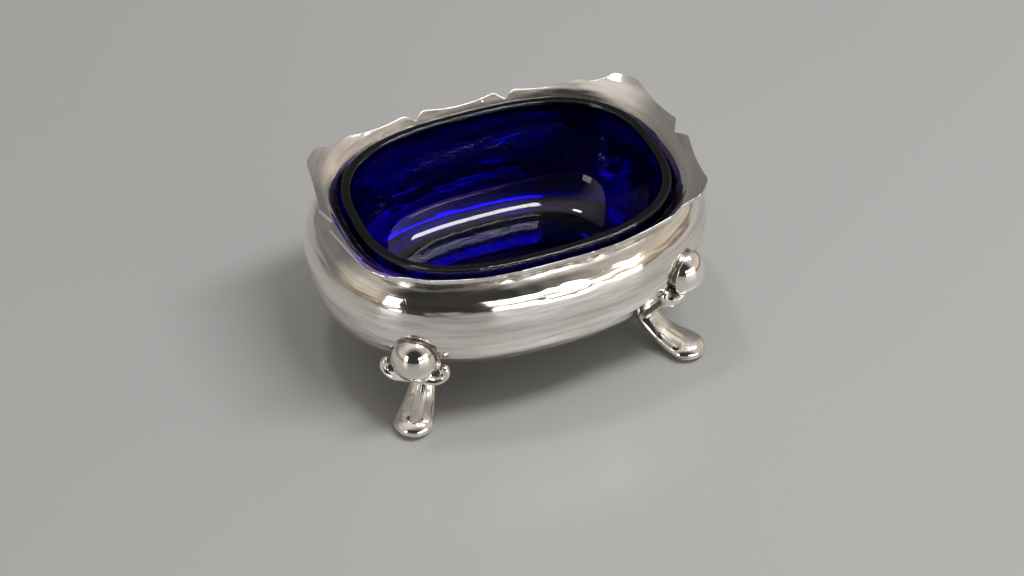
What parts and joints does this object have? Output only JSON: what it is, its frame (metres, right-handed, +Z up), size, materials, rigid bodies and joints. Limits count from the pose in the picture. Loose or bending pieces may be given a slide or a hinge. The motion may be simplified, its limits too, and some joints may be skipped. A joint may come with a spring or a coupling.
{
  "type": "salt cellar",
  "caption": "Oval open salt cellar: bulging polished bowl with a wavy flared lip, cast shell feet with domed knuckles and a loose blue glass liner.",
  "frame": {"origin": "on the table, under the middle of the bowl", "axes": "+X along the bowl's length, +Y across it towards the back, +Z up"},
  "size_m": [0.0856, 0.063, 0.0397],
  "materials": {
    "silver": "mirror-polished silver with fine hairlines and small pits",
    "blue_glass": "deep cobalt blue glass, polished"
  },
  "bodies": {
    "stand": {"bowl": "silver", "foot_front_right": "silver", "foot_front_left": "silver", "foot_back_right": "silver", "foot_back_left": "silver"},
    "liner": {"glass_liner": "blue_glass"}
  },
  "joints": [
    {"name": "liner_lift", "type": "slide", "parent": "stand", "child": "liner", "axis": [0, 0, 1], "range_m": [0, 0.04]}
  ]
}
